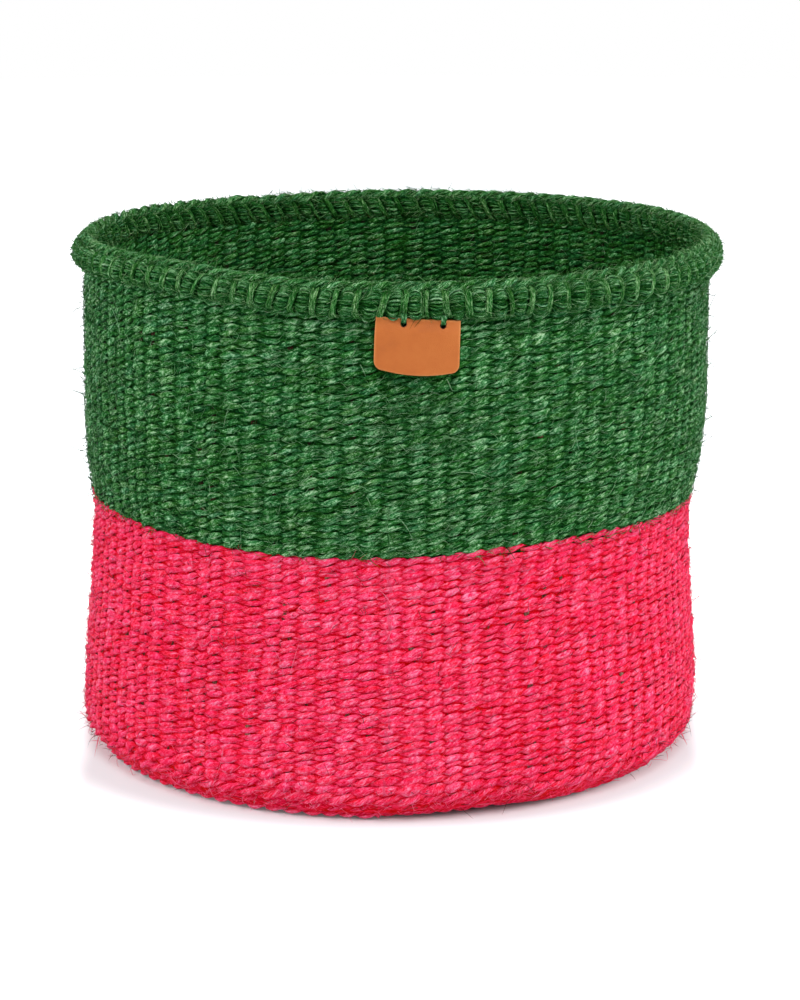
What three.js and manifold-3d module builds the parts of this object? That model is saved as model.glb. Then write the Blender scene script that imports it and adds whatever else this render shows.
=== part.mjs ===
// A round storage basket of weft-twined sisal with straight, slightly waisted walls.
// The weft twines round a hundred upright warp cords, pink below and green above.
// The top edge is rolled over a bundle of fibre and bound, and a small leather tag hangs under it.
// Units are millimetres, +Z is up, and the origin is on the floor, at the middle of the base.
// The front of the basket, where the tag hangs, faces -Y.

import * as THREE from 'three';
import * as BufferGeometryUtils from 'three/addons/utils/BufferGeometryUtils.js';
import Module from 'manifold-3d';

const wasm = await Module();
wasm.setup();

// Driving dimensions
const rimOuterDiameter = 280;
const basketHeight = 220;
const wallThickness = 4.5;
const baseThickness = 4.5;
const colourLineHeight = 110;
const warpCount = 100;
const clearance = 0.3;

// Rolled rim, measured over its binding
const rimThickness = 10;
const rimHeight = 13;
const rimOverhang = 4.6;
const strandWidth = 3.2;
const strandThickness = 1.6;
const puffInset = 0.3;
const edgeCordDiameter = 3;

// Wall and the turn at its foot
const ribDepth = 0.9;
const cornerDepth = 14;
const cornerHeight = 20.4;
const plaitDiameter = 5.6;

// Leather tag and the two stitches that hold it
const tagWidth = 33.5;
const tagHeight = 22;
const tagThickness = 1.8;
const tagCornerRadius = 3.5;
const tagBottomCrown = 1.2;
const tagTilt = THREE.MathUtils.degToRad(3);
const tagBearing = THREE.MathUtils.degToRad(3.9);
const tagHoleDiameter = 2.2;
const tagHoleSpacing = 15;
const tagHoleDrop = 3;
const stitchDiameter = 1.3;

// The wall's outer radius as a share of its radius under the rim, against the share of the way up
// from the top of the corner at its foot to the underside of the rim: a soft waist at the middle
const wallShares = [
  [0, 1.016],
  [0.13, 1.002],
  [0.3, 0.981],
  [0.465, 0.969],
  [0.6, 1],
  [1, 1],
];
// How far along the corner, from the floor to the wall, the plaited turn row lies
const plaitShare = 0.5;
// Where the edge cord leans on the binding, down from the corner of a loop
const edgeCordSeatShare = 0.1;

// Steps round each form
const strandSteps = 8;
const strandSides = 5;
const roundSteps = 72;
const cordSides = 5;
const cornerSteps = 3;
const tagCornerSteps = 4;
const tagSteps = 10;
const stitchSides = 6;
const stitchSteps = 8;

const fullTurn = 2 * Math.PI;

// Places that follow from the sizes above
const rimCentreRadius = (rimOuterDiameter - rimThickness) / 2;
const rimCentreHeight = basketHeight - rimHeight / 2;
const wallTopRadius = rimOuterDiameter / 2 - rimOverhang;
const wallFootRadius = wallTopRadius * wallShares[0][1];
const baseFlatRadius = wallFootRadius - cornerDepth;
const plaitRadius = plaitDiameter / 2;

const green = new THREE.Color().setRGB(50 / 255, 95 / 255, 52 / 255, THREE.SRGBColorSpace);
const pink = new THREE.Color().setRGB(231 / 255, 54 / 255, 89 / 255, THREE.SRGBColorSpace);
const tan = new THREE.Color().setRGB(193 / 255, 112 / 255, 57 / 255, THREE.SRGBColorSpace);

const sisalFinish = { roughness: 0.75, metalness: 0 };
const leatherFinish = { roughness: 0.5, metalness: 0 };

const basket = new THREE.Group();

function addPiece(name, geometry, color, finish) {
  const mesh = new THREE.Mesh(geometry, new THREE.MeshStandardMaterial({ color, ...finish }));
  mesh.name = name;
  basket.add(mesh);
  return mesh;
}

// A closed geometry from lists of points and triangles
function geometryFrom(points, triangles) {
  const geometry = new THREE.BufferGeometry();
  geometry.setAttribute('position', new THREE.Float32BufferAttribute(points.flat(), 3));
  geometry.setIndex(triangles.flat());
  return geometry;
}

// A point at a radius, an angle and a height; angle 0 is the front of the basket
function around(radius, angle, height) {
  return [radius * Math.sin(angle), -radius * Math.cos(angle), height];
}

// A profile of radii and heights, turned about the upright axis
function revolve(profile, steps) {
  const outline = profile.map(({ radius, height }) => new THREE.Vector2(radius, height));
  return new THREE.LatheGeometry(outline, steps).rotateX(Math.PI / 2);
}

// A point of the rim's section, which has one corner for each step of the binding,
// at an inset under the outside of the binding
function rimPoint(step, inset) {
  const angle = (fullTurn * step) / strandSteps;
  return {
    radius: rimCentreRadius + (rimThickness / 2 - inset) * Math.cos(angle),
    height: rimCentreHeight + (rimHeight / 2 - inset) * Math.sin(angle),
  };
}

// The rim's lowest corner, the one out from it, and the slope between them
const rimFoot = rimPoint((6 * strandSteps) / 8, 0);
const rimShoulder = rimPoint((7 * strandSteps) / 8, 0);
const rimSlope = (rimShoulder.height - rimFoot.height) / (rimShoulder.radius - rimFoot.radius);

// The height that clears the underside of the rim at a radius
function underRimHeight(radius) {
  const rise = rimSlope * Math.abs(radius - rimFoot.radius);
  return rimFoot.height + rise - clearance * Math.hypot(1, rimSlope);
}

const wallTopHeight = underRimHeight(wallTopRadius);

// The height of a row of the wall's table
function wallShareHeight(share) {
  return cornerHeight + share * (wallTopHeight - cornerHeight);
}

// The wall's outer radius at a height
function wallRadiusAt(height) {
  const share = THREE.MathUtils.clamp(
    (height - cornerHeight) / (wallTopHeight - cornerHeight), 0, 1);
  let row = 1;
  while (wallShares[row][0] < share) row += 1;
  const [lowShare, lowRadius] = wallShares[row - 1];
  const [highShare, highRadius] = wallShares[row];
  const blend = (share - lowShare) / (highShare - lowShare);
  return wallTopRadius * (lowRadius + blend * (highRadius - lowRadius));
}

// The corner at the foot: the outer line from the flat of the base round to the wall
const corner = new THREE.EllipseCurve(
  baseFlatRadius, cornerHeight, cornerDepth, cornerHeight, -Math.PI / 2, 0);
const cornerLength = corner.getLength();
const plaitReachShare = (plaitRadius + clearance) / cornerLength;

// A point on the corner's outer line, or at a depth under it towards the inside
function cornerPoint(share, depth) {
  const point = corner.getPointAt(share);
  const tangent = corner.getTangentAt(share);
  return { radius: point.x - depth * tangent.y, height: point.y + depth * tangent.x };
}

// The base: a flat disc whose edge starts the turn up into the wall
function makeBase() {
  const endShare = plaitShare - plaitReachShare;
  const outer = [];
  const inner = [];
  for (let step = 0; step <= cornerSteps; step += 1) {
    const share = (endShare * step) / cornerSteps;
    outer.push(cornerPoint(share, 0));
    inner.unshift(cornerPoint(share, baseThickness));
  }
  const middleUnder = { radius: 0, height: 0 };
  const middleAbove = { radius: 0, height: baseThickness };
  return revolve([middleUnder, ...outer, ...inner, middleAbove], roundSteps);
}

// A cord that lies in a level ring round the basket
function ringOfCord(radius, height, cordDiameter) {
  const section = [];
  for (let side = 0; side <= cordSides; side += 1) {
    const angle = (fullTurn * (side + 0.5)) / cordSides;
    section.push({
      radius: radius + (cordDiameter / 2) * Math.cos(angle),
      height: height + (cordDiameter / 2) * Math.sin(angle),
    });
  }
  return revolve(section, roundSteps);
}

// The thick plaited row that turns the base up into the wall
function makePlait() {
  const centre = cornerPoint(plaitShare, wallThickness / 2);
  return ringOfCord(centre.radius, centre.height, plaitDiameter);
}

// A band of wall. Each level has an outer point and an inner point, from the lowest level up.
// The outer face has a rib over every warp and a groove between warps.
function ribbedBand(levels) {
  const points = [];
  const triangles = [];
  const columns = 2 * warpCount;
  const ringSize = columns + warpCount;
  for (const level of levels) {
    for (let column = 0; column < columns; column += 1) {
      const groove = column % 2 === 0 ? 0 : ribDepth;
      const angle = (fullTurn * column) / columns;
      points.push(around(level.outer.radius - groove, angle, level.outer.height));
    }
    for (let warp = 0; warp < warpCount; warp += 1) {
      points.push(around(level.inner.radius, (fullTurn * warp) / warpCount, level.inner.height));
    }
  }
  const outerIndex = (level, column) => level * ringSize + (column % columns);
  const innerIndex = (level, warp) => level * ringSize + columns + (warp % warpCount);
  const top = levels.length - 1;
  for (let level = 0; level < top; level += 1) {
    for (let column = 0; column < columns; column += 1) {
      const a = outerIndex(level, column);
      const b = outerIndex(level, column + 1);
      const c = outerIndex(level + 1, column + 1);
      const d = outerIndex(level + 1, column);
      triangles.push([a, b, c], [a, c, d]);
    }
    for (let warp = 0; warp < warpCount; warp += 1) {
      const a = innerIndex(level, warp);
      const b = innerIndex(level, warp + 1);
      const c = innerIndex(level + 1, warp + 1);
      const d = innerIndex(level + 1, warp);
      triangles.push([a, c, b], [a, d, c]);
    }
  }
  for (const level of [0, top]) {
    for (let warp = 0; warp < warpCount; warp += 1) {
      const here = innerIndex(level, warp);
      const next = innerIndex(level, warp + 1);
      const rib = outerIndex(level, 2 * warp);
      const groove = outerIndex(level, 2 * warp + 1);
      const nextRib = outerIndex(level, 2 * warp + 2);
      const fan = [[here, rib, groove], [here, groove, next], [next, groove, nextRib]];
      for (const [a, b, c] of fan) triangles.push(level === top ? [a, b, c] : [a, c, b]);
    }
  }
  return geometryFrom(points, triangles);
}

// The outer and inner points of the wall at a height
function wallLevel(height) {
  const radius = wallRadiusAt(height);
  return { outer: { radius, height }, inner: { radius: radius - wallThickness, height } };
}

// The levels at the rows of the wall's table that lie between two heights
function wallLevelsBetween(low, high) {
  const heights = wallShares.map(([share]) => wallShareHeight(share));
  return heights.filter((height) => height > low && height < high).map(wallLevel);
}

// The pink wall: it starts past the plaited row and ends at the change of colour
function makeLowerWall() {
  const startShare = plaitShare + plaitReachShare;
  return ribbedBand([
    { outer: cornerPoint(startShare, 0), inner: cornerPoint(startShare, wallThickness) },
    wallLevel(cornerHeight),
    ...wallLevelsBetween(cornerHeight, colourLineHeight),
    wallLevel(colourLineHeight),
  ]);
}

// The green wall: its top edge is bevelled to lie along the underside of the rim
function makeUpperWall() {
  const start = colourLineHeight + clearance;
  const top = wallLevel(wallTopHeight);
  top.inner.height = underRimHeight(top.inner.radius);
  return ribbedBand([wallLevel(start), ...wallLevelsBetween(start, wallTopHeight), top]);
}

// The binding steps back by one warp with each turn: seen from outside it leans to the left as
// it climbs. It crosses under the rim between two ribs of the wall.
const bindingTurn = fullTurn / warpCount;
const bindingPhase = (1 / 2 + 6 / 8) * bindingTurn;

// The bundle of fibre inside the rim. It puffs out between the turns of the binding, which
// lies in its grooves, so its grooves climb round it as the binding does.
function makeRimCore() {
  const points = [];
  const triangles = [];
  const columns = 2 * warpCount;
  const grooveInset = strandThickness + clearance / Math.cos(Math.PI / strandSteps);
  for (let column = 0; column < columns; column += 1) {
    const inset = column % 2 === 0 ? grooveInset : puffInset;
    for (let step = 0; step < strandSteps; step += 1) {
      const angle = bindingTurn * (column / 2 - step / strandSteps) + bindingPhase;
      const place = rimPoint(step, inset);
      points.push(around(place.radius, angle, place.height));
    }
  }
  const index = (column, step) => {
    const climbed = step === strandSteps ? column + columns - 2 : column;
    return (climbed % columns) * strandSteps + (step % strandSteps);
  };
  for (let column = 0; column < columns; column += 1) {
    for (let step = 0; step < strandSteps; step += 1) {
      const a = index(column, step);
      const b = index(column + 1, step);
      const c = index(column + 1, step + 1);
      const d = index(column, step + 1);
      triangles.push([a, b, c], [a, c, d]);
    }
  }
  return geometryFrom(points, triangles);
}

// The binding: one unbroken strand that winds once round the rim for every warp and comes back
// into its own start. Its section is flat outside and narrows into the groove that it lies in.
function makeRimBinding() {
  const points = [];
  const triangles = [];
  const middles = [];
  const rings = warpCount * strandSteps;
  const sideAngle = fullTurn / strandSides;
  const flatness = 1 + Math.cos(sideAngle / 2);
  for (let ring = 0; ring < rings; ring += 1) {
    const angle = bindingPhase - (fullTurn * ring) / rings;
    const middle = rimPoint(ring, strandThickness / 2);
    middles.push(new THREE.Vector3(...around(middle.radius, angle, middle.height)));
    for (let side = 0; side < strandSides; side += 1) {
      const turn = sideAngle * (side + 0.5);
      const inset = (strandThickness * (Math.cos(sideAngle / 2) - Math.cos(turn))) / flatness;
      const shift = (strandWidth / 2) * Math.sin(turn);
      const place = rimPoint(ring, inset);
      points.push(around(place.radius, angle + shift / rimCentreRadius, place.height));
    }
  }
  for (let ring = 0; ring < rings; ring += 1) {
    const next = ((ring + 1) % rings) * strandSides;
    const here = ring * strandSides;
    for (let side = 0; side < strandSides; side += 1) {
      const other = (side + 1) % strandSides;
      triangles.push(
        [here + side, here + other, next + other],
        [here + side, next + other, next + side]);
    }
  }
  reportLeastGap('rim_binding', middles);
  return geometryFrom(points, triangles);
}

// Prints the least gap between turns of a winding, measured between points of its middle line
function reportLeastGap(name, middles) {
  let least = Infinity;
  const count = middles.length;
  for (let here = 0; here < count; here += 1) {
    for (let ahead = strandSteps - 1; ahead <= strandSteps + 1; ahead += 1) {
      least = Math.min(least, middles[here].distanceTo(middles[(here + ahead) % count]));
    }
  }
  console.log(`${name}: least gap to itself ${(least - strandWidth).toFixed(2)} mm`);
}

// The cord of linked loops along the inner top edge, which leans on the binding
function makeEdgeCord() {
  const upper = rimPoint((3 * strandSteps) / 8, 0);
  const lower = rimPoint(strandSteps / 2, 0);
  const along = new THREE.Vector2(lower.radius - upper.radius, lower.height - upper.height);
  const outward = new THREE.Vector2(along.y, -along.x).normalize();
  const reach = edgeCordDiameter / 2 + clearance;
  const radius = upper.radius + along.x * edgeCordSeatShare + outward.x * reach;
  const height = upper.height + along.y * edgeCordSeatShare + outward.y * reach;
  return ringOfCord(radius, height, edgeCordDiameter);
}

// The tag's own frame: x across it, z up from its middle, turned by its tilt, with its
// higher top corner just under the rim
const tagRise = (tagWidth / 2) * Math.sin(tagTilt) + (tagHeight / 2) * Math.cos(tagTilt);
const tagTopHeight = rimFoot.height - clearance;
const tagCentreHeight = tagTopHeight - tagRise;
const tagBackRadius = clearance + Math.max(
  wallRadiusAt(tagTopHeight - 2 * tagRise), wallRadiusAt(tagTopHeight));

// A point of the tag, bent round the wall, at a height over its back
function tagPoint(x, z, thickness) {
  const across = x * Math.cos(tagTilt) + z * Math.sin(tagTilt);
  const up = z * Math.cos(tagTilt) - x * Math.sin(tagTilt);
  return around(tagBackRadius + thickness, tagBearing + across / tagBackRadius,
    tagCentreHeight + up);
}

// Columns of the tag from left to right: closer together where the corners are round
function tagColumns() {
  const columns = [];
  const straight = tagWidth / 2 - tagCornerRadius;
  for (let step = 0; step <= tagCornerSteps; step += 1) {
    const angle = (Math.PI / 2) * (step / tagCornerSteps);
    const inset = tagCornerRadius * (1 - Math.sin(angle));
    columns.push({ x: -straight - tagCornerRadius * Math.cos(angle), inset });
  }
  for (let step = 1; step < tagSteps; step += 1) {
    columns.push({ x: -straight + (2 * straight * step) / tagSteps, inset: 0 });
  }
  for (let step = tagCornerSteps; step >= 0; step -= 1) {
    const angle = (Math.PI / 2) * (step / tagCornerSteps);
    const inset = tagCornerRadius * (1 - Math.sin(angle));
    columns.push({ x: straight + tagCornerRadius * Math.cos(angle), inset });
  }
  return columns;
}

// The leather tag: a thin panel bent round the wall, with round corners and a crowned lower edge
function makeTagPanel() {
  const points = [];
  const triangles = [];
  const columns = tagColumns();
  for (const { x, inset } of columns) {
    const crown = tagBottomCrown * (1 - (2 * x / tagWidth) ** 2);
    const top = tagHeight / 2 - inset;
    const bottom = tagBottomCrown - tagHeight / 2 + inset - crown;
    points.push(tagPoint(x, top, 0), tagPoint(x, bottom, 0));
    points.push(tagPoint(x, bottom, tagThickness), tagPoint(x, top, tagThickness));
  }
  for (let column = 0; column + 1 < columns.length; column += 1) {
    for (let side = 0; side < 4; side += 1) {
      const a = 4 * column + side;
      const b = 4 * column + ((side + 1) % 4);
      triangles.push([a, b + 4, b], [a, a + 4, b + 4]);
    }
  }
  const last = 4 * (columns.length - 1);
  triangles.push([0, 1, 2], [0, 2, 3]);
  triangles.push([last, last + 2, last + 1], [last, last + 3, last + 2]);
  return geometryFrom(points, triangles);
}

// The holes, left then right: their places across the tag and up from its middle
const tagHoleHeight = tagHeight / 2 - tagHoleDrop;
const tagHolePlaces = [-tagHoleSpacing / 2, tagHoleSpacing / 2];

// A drill through the tag at a hole, square to its face
function holeDrill(x) {
  const middle = new THREE.Vector3(...tagPoint(x, tagHoleHeight, tagThickness / 2));
  const outside = new THREE.Vector3(...tagPoint(x, tagHoleHeight, tagThickness));
  const geometry = new THREE.CylinderGeometry(
    tagHoleDiameter / 2, tagHoleDiameter / 2, 4 * tagThickness, 2 * cordSides);
  const turn = new THREE.Quaternion().setFromUnitVectors(
    new THREE.Vector3(0, 1, 0), outside.clone().sub(middle).normalize());
  geometry.applyQuaternion(turn);
  geometry.translate(middle.x, middle.y, middle.z);
  return geometry;
}

function toSolid(geometry) {
  const bare = geometry.clone();
  bare.deleteAttribute('normal');
  bare.deleteAttribute('uv');
  const merged = BufferGeometryUtils.mergeVertices(bare);
  return new wasm.Manifold(new wasm.Mesh({
    numProp: 3,
    vertProperties: merged.attributes.position.array,
    triVerts: new Uint32Array(merged.index.array),
  }));
}

function toGeometry(solid) {
  const mesh = solid.getMesh();
  const geometry = new THREE.BufferGeometry();
  geometry.setAttribute('position', new THREE.BufferAttribute(mesh.vertProperties, 3));
  geometry.setIndex(new THREE.BufferAttribute(mesh.triVerts, 1));
  return geometry;
}

function makeTag() {
  let solid = toSolid(makeTagPanel());
  for (const x of tagHolePlaces) solid = solid.subtract(toSolid(holeDrill(x)));
  return toGeometry(solid);
}

// A stitch: out of the underside of the rim, down over the face of the tag and in through its hole
function makeStitch(x) {
  const stand = tagThickness + clearance + stitchDiameter / 2;
  const topHeight = underRimHeight(tagBackRadius + stand - stitchDiameter / 2);
  const topRise = (topHeight - tagCentreHeight + x * Math.sin(tagTilt)) / Math.cos(tagTilt);
  const place = (z, depth) => new THREE.Vector3(...tagPoint(x, z, depth));
  const path = new THREE.CatmullRomCurve3([
    place(topRise, stand),
    place(tagHoleHeight + stitchDiameter, stand),
    place(tagHoleHeight, tagThickness + clearance),
    place(tagHoleHeight, tagThickness / 2),
    place(tagHoleHeight, 0),
  ]);
  const section = new THREE.Shape();
  for (let side = 0; side < stitchSides; side += 1) {
    const angle = (fullTurn * side) / stitchSides;
    const across = (stitchDiameter / 2) * Math.cos(angle);
    const up = (stitchDiameter / 2) * Math.sin(angle);
    if (side === 0) section.moveTo(across, up);
    else section.lineTo(across, up);
  }
  return new THREE.ExtrudeGeometry(section, {
    steps: stitchSteps, extrudePath: path, curveSegments: 1, bevelEnabled: false,
  });
}

addPiece('base_weave', makeBase(), pink, sisalFinish);
addPiece('base_edge_plait', makePlait(), pink, sisalFinish);
addPiece('lower_wall', makeLowerWall(), pink, sisalFinish);
addPiece('upper_wall', makeUpperWall(), green, sisalFinish);
addPiece('rim_core', makeRimCore(), green, sisalFinish);
addPiece('rim_binding', makeRimBinding(), green, sisalFinish);
addPiece('rim_edge_cord', makeEdgeCord(), green, sisalFinish);
addPiece('leather_tag', makeTag(), tan, leatherFinish);
addPiece('tag_stitch_left', makeStitch(tagHolePlaces[0]), green, sisalFinish);
addPiece('tag_stitch_right', makeStitch(tagHolePlaces[1]), green, sisalFinish);

export default basket;
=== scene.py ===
"""Looks of the woven storage basket: twined sisal, a bound rim and a leather tag.

Lengths in the tables and functions are in millimetres, and add_piece turns them into metres.
Angle 0 is the front of the basket, where the tag hangs, and angles grow towards +X.
"""

import math

import bpy
import numpy as np
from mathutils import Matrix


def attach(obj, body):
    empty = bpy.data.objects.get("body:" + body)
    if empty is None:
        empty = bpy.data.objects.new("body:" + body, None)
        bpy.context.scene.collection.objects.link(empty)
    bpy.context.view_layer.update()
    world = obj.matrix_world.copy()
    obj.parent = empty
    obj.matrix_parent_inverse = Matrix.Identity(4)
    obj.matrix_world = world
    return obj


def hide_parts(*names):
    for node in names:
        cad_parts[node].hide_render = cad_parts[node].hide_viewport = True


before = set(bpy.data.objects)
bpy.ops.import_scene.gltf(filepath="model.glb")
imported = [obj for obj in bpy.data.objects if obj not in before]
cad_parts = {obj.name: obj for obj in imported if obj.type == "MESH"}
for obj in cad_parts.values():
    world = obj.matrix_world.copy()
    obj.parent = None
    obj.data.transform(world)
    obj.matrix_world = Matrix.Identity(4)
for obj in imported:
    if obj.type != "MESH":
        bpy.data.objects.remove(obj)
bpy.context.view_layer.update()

MM = 0.001
FULL_TURN = 2 * math.pi
SEED = 11
random = np.random.default_rng(SEED)

# Sizes that follow the solids
WARP_COUNT = 100
WARP_TURN = FULL_TURN / WARP_COUNT
WALL_THICKNESS = 4.5
BASE_FLAT_RADIUS = 125.9
CORNER_DEPTH = 9.9
CORNER_HEIGHT = 20.4
COLOUR_LINE = 110.0
# Heights that the weft, the warps and the wall's loose fibres reach
WEFT_TOP, WARP_TOP, HAIR_TOP = 211, 209, 204
RIM_CENTRE_RADIUS = 134.4
RIM_CENTRE_HEIGHT = 212.7
RIM_HALF_WIDTH = 5.0
RIM_HALF_HEIGHT = 6.5
BINDING_PHASE = (1 / 2 + 6 / 8) * WARP_TURN

TAG_WIDTH, TAG_HEIGHT, TAG_THICKNESS = 32.8, 22.0, 1.8
TAG_CORNER, TAG_CROWN = 3.5, 1.3
TAG_TILT, TAG_BEARING = math.radians(3.6), math.radians(3.5)
TAG_BACK_RADIUS = 136.6
TAG_CENTRE_HEIGHT = 196.4
TAG_HOLES = (-5.6, 9.6)
TAG_HOLE_HEIGHT = TAG_HEIGHT / 2 - 2.1
TAG_HOLE_RADIUS = 1.15

# Height and outer radius of the wall, from the corner at its foot to the rim
WALL_TABLE = [
    (20.4, 135.8), (29, 135.7), (47, 134.7), (66, 132.8), (84, 131.6), (102, 130.5),
    (111, 131.5), (129, 134.1), (146, 134.9), (163, 135.1), (179, 134.8), (210, 134.5),
]
# How far the rows rise at the colour line, by degrees round from the front
RISE_TABLE = [
    (-180, 0.8), (-120, 0.2), (-90, 1.0), (-60, 1.2), (-38, 0.8), (-21, -0.6), (0, 0.1),
    (10, 1.2), (21, 3.2), (37, 4.0), (61, 2.0), (90, 0.5), (120, 0.0), (180, 0.8),
]
# Sideways lean of the whole basket, by height
LEAN_TABLE = [(0, -2.0), (8, -1.8), (22, -0.9), (90, -0.8), (150, 1.4), (200, 1.7), (214, 2.3)]
# How far the rim stands above its level, by degrees round from the front
RIM_LIFT_TABLE = [
    (-180, -0.5), (-152, -1.0), (-138, -0.2), (-122, 0.8), (-105, 0.5), (-90, 0.4), (-75, 1.7),
    (-62, 3.0), (-42, 3.5), (-30, 1.9), (-22, 1.0), (-12, 0.1), (5, 0.0), (30, 0.4), (60, 0.8),
    (90, 1.0), (105, 0.9), (118, 1.3), (130, 0.6), (145, 0.2), (160, -0.2), (180, -0.5),
]
# How much higher than usual the foot of the rolled rim is
RIM_FOOT_TABLE = [
    (-180, 0.0), (-110, 1.2), (-80, 2.0), (-28, 1.9), (-12, 0.4), (0, 0.0), (60, 0.0),
    (90, -0.8), (120, 0.0), (180, 0.0),
]
# How far the edge of the base is off the floor, and the least height of any point
FOOT_LIFT_TABLE = [
    (-180, 0.0), (0, 0.0), (6, 0.6), (12, 1.2), (20, 1.8), (28, 0.9), (38, 0.1), (180, 0.0),
]
LEAST_HEIGHT = 0.02

# Shades of the fibres, and where they stand on the scale of tones
SHADE_PLACES = (0.0, 0.22, 0.5, 0.76, 1.0)
PINK = [(204, 0, 20), (238, 14, 50), (255, 48, 92), (255, 88, 130), (255, 140, 172)]
GREEN = [(2, 44, 5), (14, 76, 18), (44, 110, 48), (92, 156, 94), (172, 210, 166)]
GREEN_LOOP = [(3, 44, 4), (17, 76, 16), (46, 110, 44), (92, 156, 84), (176, 212, 160)]
WARP = [(24, 26, 12), (70, 34, 26), (110, 66, 54), (146, 112, 92), (180, 154, 132)]


def normalised(vectors):
    return vectors / np.maximum(np.linalg.norm(vectors, axis=-1, keepdims=True), 1e-9)


def around(radius, angle, height):
    radius, angle, height = np.broadcast_arrays(radius, angle, height)
    return np.stack([radius * np.sin(angle), -radius * np.cos(angle), height], axis=-1)


def whole_turn(count):
    return np.arange(count) / count * FULL_TURN


def lengths_along(points):
    return np.concatenate([[0], np.cumsum(np.linalg.norm(np.diff(points, axis=0), axis=1))])


def smoothstep(value):
    value = np.clip(value, 0, 1)
    return value * value * (3 - 2 * value)


def smoothed(values, reach, periodic):
    """Values along the last axis, averaged over a window of 2 * reach + 1 of them."""
    window = np.hanning(2 * reach + 3)[1:-1]
    window /= window.sum()
    widths = [(0, 0)] * (values.ndim - 1) + [(reach, reach)]
    padded = np.pad(values, widths, mode="wrap" if periodic else "edge")
    rows = padded.reshape(-1, padded.shape[-1])
    result = np.stack([np.convolve(row, window, "valid") for row in rows])
    return result.reshape(values.shape)


def uneven(spread, shape, reach, periodic=True):
    """Random values about 0 that change smoothly along the last axis."""
    return smoothed(random.normal(0, spread, shape), reach, periodic)


def from_table(table, places):
    return np.interp(places, *np.transpose(table))


def by_bearing(table, angle):
    """Values that a table gives by degrees round from the front."""
    return from_table(table, (np.rad2deg(angle) + 180) % 360 - 180)


def between_warps(table, warp_place):
    """Values that a table gives at whole warps, blended between them, going round."""
    low = np.floor(warp_place).astype(int)
    blend = smoothstep(warp_place - low)
    count = table.shape[-1]
    table = np.broadcast_to(table, warp_place.shape[:-1] + (count,))
    here = np.take_along_axis(table, low % count, axis=-1)
    there = np.take_along_axis(table, (low + 1) % count, axis=-1)
    return here + (there - here) * blend


# The middle line of the fabric, from the centre of the base up to the rim

def fabric_line():
    """Distances along the line, its radii and heights, and its outward directions."""
    across = np.arange(0, BASE_FLAT_RADIUS, 0.8)
    flat = np.stack([across, np.zeros(len(across))], axis=1)
    turn = np.linspace(-math.pi / 2, 0, 60)
    corner = np.stack([BASE_FLAT_RADIUS + CORNER_DEPTH * np.cos(turn),
                       CORNER_HEIGHT * (1 + np.sin(turn))], axis=1)
    heights = np.arange(CORNER_HEIGHT + 0.5, 216, 0.5)
    radii = smoothed(from_table(WALL_TABLE, heights), 12, False)
    wall = np.stack([radii, heights], axis=1)
    outer = np.concatenate([flat, corner, wall])
    step = np.gradient(outer, axis=0)
    normal = normalised(np.stack([step[:, 1], -step[:, 0]], axis=1))
    middle = outer - normal * WALL_THICKNESS / 2
    middle[:, 0] = np.maximum(middle[:, 0], 0)
    return lengths_along(middle), middle, normal


LINE_ARC, LINE_MIDDLE, LINE_NORMAL = fabric_line()
WALL_START = np.searchsorted(LINE_MIDDLE[:, 1], CORNER_HEIGHT)


def arc_at_height(height):
    return np.interp(height, LINE_MIDDLE[WALL_START:, 1], LINE_ARC[WALL_START:])


def height_at_arc(arc):
    return np.interp(arc, LINE_ARC, LINE_MIDDLE[:, 1])


def section_place(arc, lift):
    """Radius and height at a distance outside the line, and the outward direction there."""
    out = np.interp(arc, LINE_ARC, LINE_NORMAL[:, 0])
    up = np.interp(arc, LINE_ARC, LINE_NORMAL[:, 1])
    radius = np.interp(arc, LINE_ARC, LINE_MIDDLE[:, 0]) + lift * out
    return (radius, height_at_arc(arc) + lift * up), (out, up)


def fabric_place(angle, arc, lift):
    """Points on the fabric, at a distance outside its middle, and their outward directions."""
    (radius, height), (out, up) = section_place(arc, lift)
    return around(radius, angle, height), around(out, angle, up)


def row_rise(angle, arc):
    """How far a row rises: most at the colour line, less at the rim, not at the foot."""
    steps = np.linspace(-180, 180, 721)
    rise = smoothed(from_table(RISE_TABLE, steps)[:-1], 14, True)
    degrees = np.rad2deg((angle + math.pi) % FULL_TURN) - 180
    height = height_at_arc(arc)
    share = smoothstep((height - 12) / 80) * (1 - 0.5 * smoothstep((height - 140) / 60))
    return share * np.interp(degrees, steps[:-1], rise)


def settle(points):
    """The lean and the slight unevenness of a hand-made basket, the same for every piece."""
    points = points.copy()
    x, y, z = points[..., 0], points[..., 1], points[..., 2]
    angle = np.arctan2(x, -y)
    share = smoothstep(z / 60)
    bulge = share * (0.45 * np.sin(2 * angle + 0.9) + 0.3 * np.sin(3 * angle + z / 45)
                     + 0.22 * np.sin(7 * angle + z / 31 + 1.3))
    radius = np.maximum(np.hypot(x, y), 1e-6)
    points[..., 2] += by_bearing(RIM_LIFT_TABLE, angle) * smoothstep((z - 130) / 75)
    edge = by_bearing(FOOT_LIFT_TABLE, angle) * smoothstep((radius - 90) / 35)
    points[..., 2] += edge * (1 - smoothstep((z - 4) / 26))
    points[..., 0] += x / radius * bulge + from_table(LEAN_TABLE, z)
    points[..., 1] += y / radius * bulge
    points[..., 2] = np.maximum(points[..., 2], LEAST_HEIGHT)
    return points


def from_tag(angle, arc):
    """How far a place on the wall is from the tag's outline, less than 0 behind it."""
    across = ((angle + math.pi) % FULL_TURN - math.pi - TAG_BEARING) * TAG_BACK_RADIUS
    up = height_at_arc(arc) - TAG_CENTRE_HEIGHT + across * math.tan(TAG_TILT)
    beside = np.abs(across) - TAG_WIDTH / 2
    below = np.abs(up + 0.6) - TAG_HEIGHT / 2
    return np.where((beside > 0) & (below > 0), np.hypot(beside, below),
                    np.maximum(beside, below))


# Strands: tubes with fibre coordinates for the material

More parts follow.
